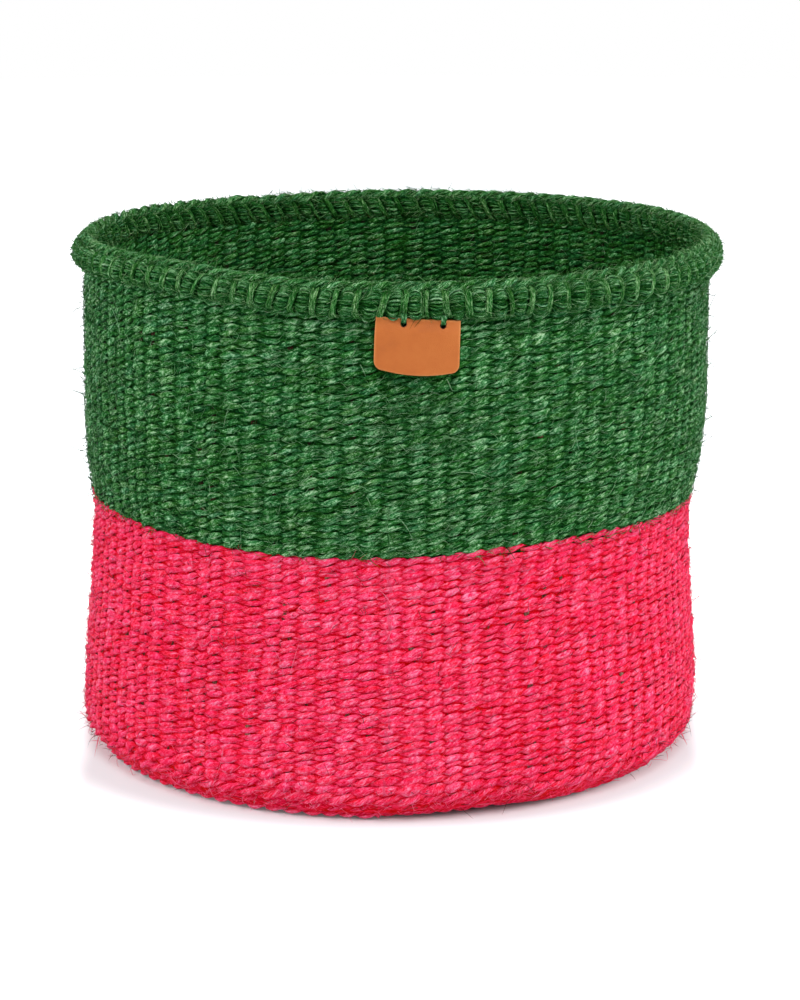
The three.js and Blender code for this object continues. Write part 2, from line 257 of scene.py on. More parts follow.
def tube(centres, normals, thick, wide, sides, closed, tone, twist=0.0, lumps=1.0,
         painted_side_shade=0.0):
    """Strands from lists of centres, each with an oval section that faces its normals.

    The last argument is painted shade: how much darker the sides are that face away from the
    normals.
    """
    centres = np.asarray(centres, float)
    if centres.ndim == 2:
        centres, normals = centres[None], np.asarray(normals)[None]
    count, samples, _ = centres.shape
    if closed:
        tangent = np.roll(centres, -1, axis=1) - np.roll(centres, 1, axis=1)
    else:
        tangent = np.gradient(centres, axis=1)
    tangent = normalised(tangent)
    facing = normalised(normals - (normals * tangent).sum(-1, keepdims=True) * tangent)
    side = np.cross(tangent, facing)
    thick = np.broadcast_to(thick, (count, samples))[..., None, None]
    wide = np.broadcast_to(wide, (count, samples))[..., None, None]
    turn = np.arange(sides) * FULL_TURN / sides
    lumps = np.broadcast_to(lumps, (count, samples, sides))[..., None]
    points = (centres[:, :, None] + lumps * thick * np.cos(turn)[:, None] * facing[:, :, None]
              + lumps * wide * np.sin(turn)[:, None] * side[:, :, None])
    steps = np.linalg.norm(np.diff(centres, axis=1), axis=-1)
    along = np.concatenate([np.zeros((count, 1)), np.cumsum(steps, axis=1)], axis=1)
    along = along + random.uniform(0, 400, (count, 1))
    spin = turn + twist * along[..., None]
    fibre = np.stack([np.broadcast_to(along[..., None], spin.shape),
                      np.cos(spin), np.sin(spin)], axis=-1)
    if np.ndim(tone) < 3:
        tone = np.broadcast_to(tone, (count, samples))[..., None]
    # Painted shade on the sides that face away from the normals.
    tone = tone - painted_side_shade * smoothstep((0.4 - np.cos(turn)) / 1.2)
    tone = np.broadcast_to(tone, spin.shape)
    return {"points": points, "fibre": fibre, "tone": tone, "closed": closed, "flip": False}


def strand_faces(strand, start):
    """Four-sided faces of strands whose points are numbered from start."""
    count, samples, sides, _ = strand["points"].shape
    spans = samples if strand["closed"] else samples - 1
    base = start + np.arange(count)[:, None, None] * samples * sides
    sample = np.arange(spans)[None, :, None]
    side = np.arange(sides)[None, None, :]
    other = (side + 1) % sides
    ahead = (sample + 1) % samples
    corners = [base + sample * sides + side, base + sample * sides + other,
               base + ahead * sides + other, base + ahead * sides + side]
    if strand["flip"]:
        corners.reverse()
    return np.stack(corners, axis=-1).reshape(-1, 4)


def grid(points, fibre, tone, closed):
    """A surface as add_piece takes it. A closed one faces the other way."""
    return {"points": points[None], "fibre": fibre[None], "tone": tone, "closed": closed,
            "flip": closed}


def add_object(name, data):
    added = bpy.data.objects.new(name, data)
    bpy.context.scene.collection.objects.link(added)
    return added


def add_piece(name, strands, look, nodes=()):
    """One mesh from strands or grids, riding on the basket, with a material and the nodes that
    it stands for. A look is a material and its slot; the slot is not used."""
    material, slot = look
    faces, start = [], 0
    for strand in strands:
        faces.append(strand_faces(strand, start))
        start += strand["tone"].size
    faces = np.concatenate(faces).astype(np.int32)
    points = settle(np.concatenate([s["points"].reshape(-1, 3) for s in strands])) * MM
    fibre = np.concatenate([s["fibre"].reshape(-1, 3) for s in strands])
    tone = np.concatenate([s["tone"].reshape(-1) for s in strands])
    mesh = bpy.data.meshes.new(name)
    mesh.vertices.add(len(points))
    mesh.vertices.foreach_set("co", points.astype(np.float32).ravel())
    mesh.loops.add(faces.size)
    mesh.loops.foreach_set("vertex_index", faces.ravel())
    mesh.polygons.add(len(faces))
    mesh.polygons.foreach_set("loop_start", np.arange(0, faces.size, 4, dtype=np.int32))
    mesh.update(calc_edges=True)
    mesh.shade_smooth()
    for layer, kind, key, values in (("fibre", "FLOAT_VECTOR", "vector", fibre),
                                     ("tone", "FLOAT", "value", tone)):
        data = mesh.attributes.new(layer, kind, "POINT").data
        data.foreach_set(key, values.astype(np.float32).ravel())
    mesh.materials.append(material)
    piece = add_object(name, mesh)
    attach(piece, "root")
    if nodes:
        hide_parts(*nodes)
    return piece


# Materials

def linear(colour):
    shares = [value / 255 for value in colour]
    return [s / 12.92 if s <= 0.04045 else ((s + 0.055) / 1.055) ** 2.4 for s in shares]


class Nodes:
    """Short calls for the nodes of a material or the world."""

    def __init__(self, owner, shader="Principled BSDF"):
        owner.use_nodes = True
        self.owner, self.tree = owner, owner.node_tree
        self.shader = self.tree.nodes[shader]

    def add(self, kind, inputs=None, **settings):
        node = self.tree.nodes.new("ShaderNode" + kind)
        for key, value in settings.items():
            setattr(node, key, value)
        for key, value in (inputs or {}).items():
            self.set(node, key, value)
        return node

    def set(self, node, key, value):
        if isinstance(value, bpy.types.NodeSocket):
            self.tree.links.new(value, node.inputs[key])
        else:
            node.inputs[key].default_value = value

    def math(self, operation, a, b, clamp=False):
        node = self.add("Math", {0: a, 1: b}, operation=operation, use_clamp=clamp)
        return node.outputs[0]

    def graded(self, value, gain, level, clamp=False):
        return self.math("ADD", self.math("MULTIPLY", value, gain), level, clamp)

    def point(self, name, output):
        return self.add("Attribute", attribute_name=name).outputs[output]

    def scaled(self, vector, shares):
        return self.add("VectorMath", {0: vector, 1: shares},
                        operation="MULTIPLY").outputs["Vector"]

    def noise(self, vector, scale, detail, roughness=0.5):
        return self.add("TexNoise", {
            "Vector": vector, "Scale": scale, "Detail": detail, "Roughness": roughness,
        }).outputs["Fac"]

    def bump(self, height, strength, distance):
        return self.add("Bump", {
            "Height": height, "Strength": strength, "Distance": distance,
        }).outputs["Normal"]

    def ramp(self, factor, stops):
        node = self.add("ValToRGB", {"Fac": factor})
        elements = node.color_ramp.elements
        while len(elements) < len(stops):
            elements.new(0.5)
        for element, (place, colour) in zip(elements, stops):
            element.position = place
            element.color = (*linear(colour), 1)
        return node.outputs["Color"]

    def seen(self):
        """1 where a thing is looked at, also by reflection or refraction, and else 0."""
        rays = self.add("LightPath").outputs
        seen = self.math("MAXIMUM", rays["Is Camera Ray"], rays["Is Glossy Ray"])
        return self.math("MAXIMUM", seen, rays["Is Transmission Ray"])

    def shaded(self, **inputs):
        """The material or world, once its shader has these inputs."""
        for key, value in inputs.items():
            self.set(self.shader, key.replace("_", " "), value)
        return self.owner


def sisal(name, shades, contrast, hue_spread):
    """Fibres with streaks along them, and a slow drift of their hue."""
    nodes = Nodes(bpy.data.materials.new(name))
    fibre = nodes.point("fibre", "Vector")
    along = nodes.scaled(fibre, (0.3, 1, 1))
    streaks = nodes.noise(along, 1.7, 4, 0.75)
    fine = nodes.noise(along, 8.0, 2)
    raised = nodes.graded(streaks, 0.8, nodes.math("MULTIPLY", fine, 0.2))
    shade = nodes.graded(nodes.math("SUBTRACT", raised, 0.5), contrast,
                         nodes.point("tone", "Fac"), clamp=True)
    colour = nodes.ramp(shade, list(zip(SHADE_PLACES, shades)))
    drift = nodes.noise(nodes.scaled(fibre, (0.06, 0.3, 0.3)), 1.0, 2)
    hue = nodes.graded(drift, hue_spread, 0.5 - hue_spread / 2)
    drifted = nodes.add("HueSaturation", {"Hue": hue, "Color": colour})
    return nodes.shaded(Base_Color=drifted.outputs["Color"],
                        Roughness=nodes.graded(raised, -0.25, 0.74, clamp=True),
                        Normal=nodes.bump(raised, 0.8, 0.0008), Specular_IOR_Level=0.04)


def leather(name):
    """Smooth leather with a fine grain and soft clouds."""
    nodes = Nodes(bpy.data.materials.new(name))
    place = nodes.add("TexCoord").outputs["Object"]
    grain = nodes.add("TexVoronoi", {"Vector": place, "Scale": 1500.0},
                      feature="DISTANCE_TO_EDGE").outputs["Distance"]
    pores = nodes.noise(place, 900.0, 3)
    clouds = nodes.noise(place, 90.0, 4, 0.6)
    shade = nodes.graded(nodes.math("SUBTRACT", clouds, 0.5), 0.35,
                         nodes.point("tone", "Fac"), clamp=True)
    colour = nodes.ramp(shade, [
        (0.0, (70, 30, 10)), (0.3, (150, 76, 26)), (0.5, (185, 98, 36)),
        (0.7, (198, 114, 50)), (1.0, (218, 150, 96))])
    return nodes.shaded(
        Base_Color=colour, Roughness=nodes.graded(clouds, 0.2, 0.38), Specular_IOR_Level=0.32,
        Normal=nodes.bump(nodes.graded(grain, 60.0, pores), 0.16, 0.0002))


PINK_LOOK = sisal("pink_sisal_look", PINK, 3.6, 0.02), "pink_sisal"
GREEN_LOOK = sisal("green_sisal_look", GREEN, 4.4, 0.1), "green_sisal"
LOOP_LOOK = sisal("green_loop_look", GREEN_LOOP, 4.4, 0.06), "green_sisal"
WARP_LOOK = sisal("warp_cord_look", WARP, 3.0, 0.0), "green_sisal"
LEATHER_LOOK = leather("tan_leather_look"), "tan_leather"


# The twined weft. Two strands wind round each other, and each warp stands between them.

STITCH_RELIEF = 0.84
# How much darker the weave is beside the tag, and how far out
TAG_SHADE, TAG_SHADE_REACH = 0.45, 2.4


def painted_light_by_bearing(angle):
    """By bearing: painted light on the front of the weave's outside, and painted shade inside
    it.
    """
    front_painted_light = 0.05 * smoothstep((np.cos(angle + 0.05) - 0.88) / 0.11) - 0.015
    inside_painted_shade = 0.13 + 0.16 * (1 - np.abs(np.cos(angle))) + 0.04 * np.sin(angle)
    return front_painted_light, inside_painted_shade


def twined(angle, arc, turn, pitch, own, tone, sides, closed, fullness=1.0, shadow=0.3,
           depth=1.7):
    """Two strands that turn about the middle of the fabric, half a turn for every warp.

    own has each stitch's unevenness: its size, how far it stands out, its lean, its shift
    along the fabric and its lumps. shadow is how much darker the strands are deep in the
    fabric, and depth how far outside its middle that begins.
    """
    size, stand, lean, shift, lumps = own
    front = np.cos(turn)
    bulge = np.abs(front)
    swing = np.sign(front) * bulge ** 0.7
    inner = smoothstep(-2 * swing)
    lift = (1.2 + 0.18 * stand) * swing * (1 - 0.3 * inner) + 0.35 * (1 - bulge)
    slant = 0.24 - 0.09 * np.sin(angle)
    rise = slant * pitch * (1 + 0.3 * lean) * np.sin(turn) + 0.2 * shift
    centres, normals = fabric_place(angle, arc + rise, STITCH_RELIEF * lift)
    girth = 1 + 0.12 * size
    thick = girth * (0.6 + 0.3 * bulge)
    wide = girth * pitch * fullness * (0.25 + 0.29 * bulge ** 0.9)
    proud = lift[..., None] + lumps * thick[..., None] * np.cos(whole_turn(sides))
    inner = inner[..., None]
    # Painted light lightens the front of the outside, and painted shade darkens the inside.
    front_painted_light, inside_painted_shade = painted_light_by_bearing(angle)
    by_tag = smoothstep((TAG_SHADE_REACH - from_tag(angle, arc)) / TAG_SHADE_REACH)
    by_tag = (by_tag * smoothstep(2 * swing))[..., None]
    tone = (tone + front_painted_light)[..., None] - inside_painted_shade[..., None] * inner - TAG_SHADE * by_tag
    tone = tone - shadow * (1 - 0.85 * inner) * smoothstep((depth - np.abs(proud)) / 1.2)
    return tube(centres, normals, thick, wide, sides, closed, tone, twist=0.2, lumps=lumps)


# Samples of a stitch, sides of a strand, and parts of each wall
STITCH_STEPS, WEFT_SIDES, WEFT_PARTS = 8, 6, 4
CORE_LIFT = 0.35
# How far each warp is from its place, in warps
WARP_SHIFTS = uneven(0.16, WARP_COUNT, 1)


def fabric_core(arcs, angles, tone):
    """The packed fibre between the two layers of stitches, as one closed band."""
    arcs = np.concatenate([arcs, arcs[::-1]])
    lifts = np.repeat([CORE_LIFT, -CORE_LIFT], len(arcs) // 2)
    angle, arc = np.broadcast_arrays(angles[:, None], arcs)
    points, _ = fabric_place(angle, arc, lifts)
    fibre = np.stack([angle * 130, points[..., 2] * 0.5, points[..., 2] * 0.3], axis=-1)
    return grid(points, fibre, np.full(angle.shape, tone), True)


def weft_rows(arcs, pitches, tones, fullness, shadow, depth):
    """Closed rows at distances along the fabric, each of two strands round every warp.

    tones are the middle tone and how far it varies along a strand and from stitch to stitch.
    """
    rows = len(arcs)
    steps = WARP_COUNT * STITCH_STEPS
    stitches = (2 * rows, WARP_COUNT)
    warp_place = np.broadcast_to(np.arange(steps) / STITCH_STEPS, (2 * rows, steps))
    strand = np.tile([0, 1], rows)[:, None]
    arcs, pitches = np.repeat(arcs, 2)[:, None], np.repeat(pitches, 2)[:, None]
    drift = uneven(0.2, (WARP_COUNT, rows + 24), 6, False)[:, 12:-12]
    shifts = (WARP_SHIFTS[:, None] + drift).T + random.normal(0, 0.07, (rows, WARP_COUNT))
    shifts = between_warps(np.repeat(shifts, 2, axis=0), warp_place)
    wave = np.repeat(uneven(0.2, (rows, WARP_COUNT), 3) * 2, 2, axis=0)
    wave = between_warps(wave, warp_place)
    angle = (warp_place + shifts) * WARP_TURN
    arc = arcs + row_rise(angle, arcs) + wave
    *own, shade = [between_warps(random.normal(0, 1, stitches), warp_place) for _ in range(5)]
    middle, by_stretch, by_stitch = tones
    yarn = uneven(by_stretch, stitches, 2) * 1.6
    tone = middle + shade * by_stitch + between_warps(yarn, warp_place)
    lumps = [between_warps(random.normal(1, 0.1, stitches), warp_place)
             + uneven(0.24, (2 * rows, steps), 2) for _ in range(WEFT_SIDES)]
    own.append(np.clip(np.stack(lumps, axis=-1), 0.65, 1.35))
    turn = math.pi * (warp_place + strand)
    return twined(angle, arc, turn, pitches, own, tone, WEFT_SIDES, True, fullness, shadow,
                  depth)


def add_weft(name, rows, form, look, node):
    """Rows of weft in some parts. form is the tones, fullness, shadow and its depth."""
    angles = np.arange(2 * WARP_COUNT) / 2 * WARP_TURN
    parts = zip(*(np.array_split(values, WEFT_PARTS) for values in rows))
    for part, (arcs, pitches) in enumerate(parts):
        low, high = arcs[0] - pitches[0] / 2, arcs[-1] + pitches[-1] / 2
        # The core's low tone is painted shade, seen in the gaps between stitches.
        core = fabric_core(np.linspace(low, high, max(2, int((high - low) / 4))), angles, 0.05)
        strands = [weft_rows(arcs, pitches, *form), core]
        add_piece(f"{name}_{part + 1}", strands, look, [node])


def spaced_rows(start, end, count, first_pitches):
    """Row middles and pitches from start to end; the first rows have shares of their own."""
    shares = np.ones(count)
    shares[:len(first_pitches)] = first_pitches
    shares *= 1 + random.normal(0, 0.04, count)
    pitches = shares * (end - start) / shares.sum()
    return start + np.cumsum(pitches) - pitches / 2, pitches


PLAIT_ARC = (BASE_FLAT_RADIUS + arc_at_height(CORNER_HEIGHT)) / 2
COLOUR_ARC = arc_at_height(COLOUR_LINE)
lower_rows = spaced_rows(PLAIT_ARC + 2.6, COLOUR_ARC, 33, (1.5, 1.25, 1.1))
upper_rows = spaced_rows(COLOUR_ARC, arc_at_height(WEFT_TOP), 36, ())
add_weft("lower_weft", lower_rows, ((0.57, 0.04, 0.05), 1.04, 0.31, 1.65), PINK_LOOK,
         "lower_wall")
add_weft("upper_weft", upper_rows, ((0.57, 0.05, 0.05), 0.93, 0.36, 1.85), GREEN_LOOK,
         "upper_wall")


# The base: one pair of strands twined in a spiral from the centre out to the plaited edge.
# Its warps double at each of BASE_STAGES.

BASE_STAGES = (12, 28, 62)
BASE_WARPS = (12, 24, 50, WARP_COUNT)
BASE_STEPS = 4
BASE_PITCH = 3.0
BASE_START = 1.3
BASE_END = BASE_FLAT_RADIUS - 1.5
BASE_SPLIT = 92


def base_spiral():
    """Angle, arc and turn along the spiral."""
    angles, turns = [], []
    angle, turn, arc = 0.0, 0.0, BASE_START
    while arc < BASE_END:
        warps = BASE_WARPS[np.searchsorted(BASE_STAGES, arc, side="right")]
        share = np.arange(warps * BASE_STEPS) / (warps * BASE_STEPS)
        angles.append(angle + share * FULL_TURN)
        turns.append(turn + share * math.pi * warps)
        angle += FULL_TURN
        turn += math.pi * warps
        arc += BASE_PITCH
    angles, turns = np.concatenate(angles), np.concatenate(turns)
    return angles, BASE_START + angles / FULL_TURN * BASE_PITCH, turns


def add_base():
    angles, arcs, turns = base_spiral()
    noise = uneven(1, (6, 2, len(angles)), 8, False) * 2.2
    split = int(np.searchsorted(arcs, BASE_SPLIT))
    for part, chosen in enumerate([slice(0, split + 1), slice(split, None)]):
        shift, tone, *own = noise[..., chosen]
        angle = np.stack([angles[chosen]] * 2) + shift[0] * 0.1 * WARP_TURN
        arc = np.stack([arcs[chosen]] * 2) + shift[1] * 0.12
        turn = np.stack([turns[chosen], turns[chosen] + math.pi])
        # The outermost rows, which show at the foot, are lighter: painted light.
        tone = 0.54 + tone * 0.09 + 0.12 * smoothstep((arc - 108) / 10)
        own.append(np.ones(1))
        strands = [twined(angle, arc, turn, BASE_PITCH, own, tone, 5, False)]
        if part == 0:
            # The core's low tone is painted shade, seen in the gaps of the base.
            core = fabric_core(np.linspace(0.2, PLAIT_ARC + 5, 60), whole_turn(120), 0.2)
            strands.append({**core, "fibre": core["points"] * 0.3})
        add_piece(f"base_weft_{part + 1}", strands, PINK_LOOK, ["base_weave"])


add_base()


# The warps: dark cords between the two layers of weft, seen in some gaps between stitches

def add_warps():
    numbers, samples = np.arange(WARP_COUNT), 90
    starts = np.select([numbers % 8 == 0, numbers % 4 == 0, numbers % 2 == 0],
                       [2, *BASE_STAGES[:2]], BASE_STAGES[2])[:, None]
    arcs = starts + (arc_at_height(WARP_TOP) - starts) * np.linspace(0, 1, samples)
    angle = (numbers + WARP_SHIFTS)[:, None] * WARP_TURN + 0 * arcs
    wobble = uneven(1, (2, WARP_COUNT, samples), 1, False) * 1.3
    in_wall = smoothstep((arcs - PLAIT_ARC - 3) / 4)
    centres, normals = fabric_place(angle + 0.1 * WARP_TURN * wobble[0], arcs,
                                    (0.05 + 0.3 * in_wall) * wobble[1] - 0.1 * in_wall)
    thick = np.where(arcs < COLOUR_ARC, 0.28 + 0.32 * in_wall, 0.3)
    # Painted shade: a warp is darker where it lies deeper between the layers and lighter where
    # it comes out. It is also much darker above the colour line.
    tone = 0.35 + 0.2 * wobble[1] - 0.6 * smoothstep((arcs - COLOUR_ARC + 3) / 3)
    strand = tube(centres, normals, thick, 1.3, 5, False, tone, twist=0.4)
    add_piece("warp_cords", [strand], WARP_LOOK, ["base_weave", "lower_wall", "upper_wall"])


add_warps()


# Cords of yarns twisted together, laid in level rings

def section_normals(section, angle):
    """Outward directions round a ring, at angles of its section."""
    return around(np.cos(section), angle, np.sin(section))


def twisted_ring(place, turns, yarns, sizes, steps, middle_tone):
    """Two strands of yarns, twisted together round a ring at a radius and height.

    sizes are the offset of a strand, the offset of a yarn in its strand and a yarn's radius.
    """
    offset, yarn_offset, radius = sizes
    share = np.arange(steps) / steps
    angle = share * FULL_TURN
    result = []
    for strand in range(2):
        sway = uneven(1, (3, steps), 7) * 2.2
        twist = FULL_TURN * (turns * share + strand / 2) + sway[0] * 0.3
        for yarn in range(yarns):
            own = uneven(1, (4, steps), 5) * 1.9
            inner = twist + FULL_TURN * (yarn / yarns) + own[0] * 0.35
            out = (offset * np.cos(twist) + yarn_offset * np.cos(inner)
                   + 0.16 * sway[1] + 0.09 * own[1])
            up = (offset * np.sin(twist) + yarn_offset * np.sin(inner)
                  + 0.16 * sway[2] + 0.09 * own[2])
            size = radius * (1 + 0.1 * own[3])
            result.append(tube(
                around(place[0] + out, angle, place[1] + up), section_normals(twist, angle),
                size * 0.95, size * 1.08, 6, True, middle_tone + 0.07 * own[3], twist=0.3,
                painted_side_shade=0.34))
    return result


# The turn of the base: a thick plaited row, and under it a smoother one that rolls inwards.
# Each ring has its place along the fabric from the plait and outside it, its turns, its
# sizes and its tone. The lower rings' lower tones are painted shade under the plait.
EDGE_RINGS = [
    (0.0, -0.1, 44, (1.25, 0.75, 0.95), 0.56),
    (-4.6, -1.6, 44, (1.3, 0.6, 0.85), 0.46),
    (-8.6, -0.9, 45, (0.7, 0.5, 0.7), 0.4),
]


def add_edge():
    rings = []
    for shift, lift, turns, sizes, tone in EDGE_RINGS:
        place, _ = section_place(PLAIT_ARC + shift, lift)
        rings += twisted_ring(place, turns, 3, sizes, 800, tone)
    add_piece("edge_plait", rings, PINK_LOOK, ["base_edge_plait"])


add_edge()


# The rolled rim: a bundle of fibre that puffs out between the turns of its binding

RIM_STEPS = 10
RIM_ANGLES = np.arange(WARP_COUNT * RIM_STEPS) / RIM_STEPS * WARP_TURN
RIM_THREADS = 44
# The first thread of each part of the bundle, and its count
RIM_THREAD_PARTS = [(0, 14), (14, 15), (29, 15)]
# How deep the bundle sinks in under a loop of the binding
RIM_SINK = 2.9
# How far each loop is from its place, in warps
LOOP_SHIFTS = uneven(0.1, WARP_COUNT, 1)
# How far the top of a loop stands to the side of its middle
LOOP_LEAN_TABLE = [
    (-180, 2.2), (-70, 2.2), (-8, 2.6), (8, 1.3), (70, 1.3), (110, 2.2), (180, 2.2),
]
LOOP_LEANS = (by_bearing(LOOP_LEAN_TABLE, BINDING_PHASE + np.arange(WARP_COUNT) * WARP_TURN)
              + random.normal(0, 0.6, WARP_COUNT))


def rim_place(section, angle, inset=0.3):
    """A point of the rim's section, an ellipse with fuller corners, at an inset under it."""
    across, up = np.cos(section), np.sin(section)
    power = np.where(up > 0, 0.8, 0.95)
    across = np.sign(across) * np.abs(across) ** power
    foot = np.where(up > 0, 0, by_bearing(RIM_FOOT_TABLE, angle))
    up = np.sign(up) * np.abs(up) ** power
    return around(RIM_CENTRE_RADIUS + (RIM_HALF_WIDTH - inset) * across, angle,
                  RIM_CENTRE_HEIGHT + (RIM_HALF_HEIGHT - foot - inset) * up)


def rim_puff(section, angle):
    """How far the bundle puffs out: 0 under a loop, 1 halfway between two."""
    turn = (angle - BINDING_PHASE) / WARP_TURN + section / FULL_TURN
    lean = between_warps(LOOP_LEANS, turn)
    sideways = lean * np.sin(section) / (WARP_TURN * RIM_CENTRE_RADIUS)
    turn = turn - between_warps(LOOP_SHIFTS, turn) - sideways
    from_loop = np.abs((turn + 0.5) % 1 - 0.5)
    return smoothstep((from_loop - 0.08) / 0.34) ** 0.8


def rim_body():
    section, angle = np.broadcast_arrays(whole_turn(36), RIM_ANGLES[:, None])
    puff = rim_puff(section, angle)
    points = rim_place(section, angle, 0.7 + RIM_SINK * (1 - puff))
    fibre = np.stack([angle * 135, 6 * np.cos(section), 6 * np.sin(section)], axis=-1)
    # The body's low tone, lowest where it sinks under the loops, is painted shade between the
    # threads.
    return grid(points, fibre, 0.05 + 0.12 * puff, True)


def rim_threads(count, first):
    """Threads of the bundle that lie along the rim, sunk in under each loop."""
    shape = (count, len(RIM_ANGLES))
    wander = uneven(1, shape, 5) * 2
    slow = uneven(1, shape, 20) * 4
    proud = uneven(1, shape, 4) * 1.8
    section = ((first + np.arange(count)) / RIM_THREADS * FULL_TURN)[:, None]
    section = section + 0.045 * wander + 0.05 * slow
    angle = np.broadcast_to(RIM_ANGLES, section.shape)
    puff = rim_puff(section, angle)
    inset = 0.1 + RIM_SINK * (1 - puff) - 0.45 * proud * puff
    # Painted light and shade: threads that stand proud are lighter, and threads that sink
    # under a loop or lie away from the rim's outer face are darker.
    tone = 0.52 + random.normal(0, 0.09, (count, 1)) + 0.12 * proud + 0.08 * wander
    tone = tone - 0.36 * (1 - puff) - 0.07 * (1 - np.cos(section))
    return tube(rim_place(section, angle, inset), section_normals(section, angle),
                0.42, 0.44, 4, True, tone, twist=0.35, painted_side_shade=0.3)


def add_rim_core():
    for part, (first, count) in enumerate(RIM_THREAD_PARTS):
        strands = [rim_threads(count, first)] + ([rim_body()] if part == 0 else [])
        add_piece(f"rim_bundle_{part + 1}", strands, GREEN_LOOK, ["rim_core"])


def add_rim_loops():
    """The rim's binding: yarns side by side in one long strand, with a loop for each warp."""
    steps_per_loop = 16
    steps = WARP_COUNT * steps_per_loop
    place = np.arange(steps) / steps_per_loop
    section = place * FULL_TURN
    loop = -place % WARP_COUNT
    shifts = between_warps(LOOP_SHIFTS, loop) * WARP_TURN
    lean = between_warps(LOOP_LEANS, loop)
    fan = between_warps(random.uniform(0.5, 1.2, WARP_COUNT), loop)
    bow = between_warps(random.normal(-0.6, 0.6, WARP_COUNT), loop)
    shade = between_warps(random.normal(0, 0.07, WARP_COUNT), loop)
    strands = []
    for offset in (-1.2, -0.4, 0.4, 1.2):
        own = uneven(1, (4, steps), 5) * 1.9
        spread = offset * fan * (0.75 + 0.25 * np.sin(section) ** 2) + own[0] * 0.4
        spread = spread + lean * np.sin(section) + bow * np.cos(section)
        angle = BINDING_PHASE - place * WARP_TURN + shifts + spread / RIM_CENTRE_RADIUS
        inset = 0.9 - 0.3 * own[1] + 0.3 * abs(offset)
        # Painted shade: a loop is darker away from the rim's outer face.
        tone = 0.54 + 0.12 * own[3] + shade - 0.13 * (1 - np.cos(section))
        strands.append(tube(
            rim_place(section, angle, inset), section_normals(section, angle),
            0.55, 0.58 * (1 + 0.2 * own[2]), 6, True, tone, twist=0.3, painted_side_shade=0.36))
    add_piece("rim_loops", strands, LOOP_LOOK, ["rim_binding"])


# The edge cord's radius and height, and the radius of its own section
ROPE_PLACE, ROPE_REACH = (133.5, 218.9), 2.1
add_rim_core()
add_rim_loops()
rope = twisted_ring(ROPE_PLACE, 50, 4, (1.05, 0.85, 0.78), 1000, 0.54)
add_piece("rim_rope", rope, GREEN_LOOK, ["rim_edge_cord"])


# The leather tag and its stitches

def tag_place(x, z, depth):
    """A point of the tag in the basket's frame: its rows lean, and its top goes in."""
    up = z - x * math.tan(TAG_TILT)
    depth = depth - 1.1 * smoothstep((z - TAG_HEIGHT / 2 + 6) / 6)
    return around(TAG_BACK_RADIUS + depth, TAG_BEARING + (x + 0.02 * z) / TAG_BACK_RADIUS,
                  TAG_CENTRE_HEIGHT + up)


def tag_outline(inset, count):
    """Points round the tag's edge, from its top left, going round once."""
    half, bottom = TAG_WIDTH / 2 - inset, -TAG_HEIGHT / 2 + inset
    top, low = TAG_HEIGHT / 2 - inset, bottom + TAG_CROWN
    corner = max(TAG_CORNER - inset, 0.4)
    turn = np.linspace(0, math.pi / 2, 9)
    x = np.linspace(half - corner, -half + corner, 40)[1:-1]
    across = np.concatenate([np.linspace(-half, half, 40), half - corner * (1 - np.cos(turn)),
                             x, -half + corner * (1 - np.sin(turn)), [-half]])
    up = np.concatenate([np.full(40, top), low + corner * (1 - np.sin(turn)),
                         bottom + TAG_CROWN * (x / (half - corner)) ** 2,
                         low + corner * (1 - np.cos(turn)), [top]])
    length = lengths_along(np.stack([across, up], axis=1))
    places = np.arange(count) / count * length[-1]
    return np.stack([np.interp(places, length, across), np.interp(places, length, up)], axis=1)


def tag_panel():
    """The tag without its holes: rings from the middle of its back round to its face's."""
    count, rounding = 240, 0.4
    middle = np.array([0.0, 0.4])
    back, face = tag_outline(7.0, count), tag_outline(1.0, count)
    rings = [(middle + (back - middle) * share, 0.0, 0.3)
             for share in np.linspace(0.75, 0.0, 6)[::-1]]
    # The rounded edge between the sides and the face is lighter than the face, most on a
    # narrow ring: a painted highlight.
    rings += [(tag_outline(inset, count), depth, tone) for inset, depth, tone in (
        (7.0, 0.0, 0.3), (3.0, 0.0, 0.3), (0.3, 0.0, 0.3), (0.0, 0.3, 0.3), (0.0, 0.9, 0.36),
        (0.0, TAG_THICKNESS - rounding, 0.52), (0.12, TAG_THICKNESS - 0.12, 0.85),
        (rounding, TAG_THICKNESS, 0.66), (1.0, TAG_THICKNESS, 0.5))]
    rings += [(middle + (face - middle) * share, TAG_THICKNESS, 0.5)
              for share in np.linspace(0.94, 0.0, 24)]
    points = np.stack([tag_place(ring[:, 0], ring[:, 1], np.full(count, depth))
                       for ring, depth, _ in rings])
    tones = np.stack([np.full(count, tone) for _, _, tone in rings])
    return grid(points, points * 0.1, tones, False)


def punch(piece, x):
    """Cuts a round hole through the tag, square to its face."""
    count = 20
    turn = whole_turn(count)
    across, up = TAG_HOLE_RADIUS * np.cos(turn), TAG_HOLE_RADIUS * np.sin(turn)
    ends = [settle(tag_place(x + across, TAG_HOLE_HEIGHT + up, np.full(count, depth))) * MM
            for depth in (-3.0, TAG_THICKNESS + 3.0)]
    faces = [[k, (k + 1) % count, count + (k + 1) % count, count + k] for k in range(count)]
    faces += [list(range(count))[::-1], list(range(count, 2 * count))]
    mesh = bpy.data.meshes.new("punch")
    mesh.from_pydata(np.concatenate(ends).tolist(), [], faces)
    cutter = add_object("punch", mesh)
    cut = piece.modifiers.new("hole", "BOOLEAN")
    cut.operation, cut.object, cut.solver = "DIFFERENCE", cutter, "EXACT"
    bpy.context.view_layer.update()
    result = bpy.data.meshes.new_from_object(
        piece.evaluated_get(bpy.context.evaluated_depsgraph_get()))
    piece.modifiers.clear()
    piece.data = result
    bpy.data.objects.remove(cutter)


def add_tag():
    piece = add_piece("tag_leather", [tag_panel()], LEATHER_LOOK, ["leather_tag"])
    for x in TAG_HOLES:
        punch(piece, x)


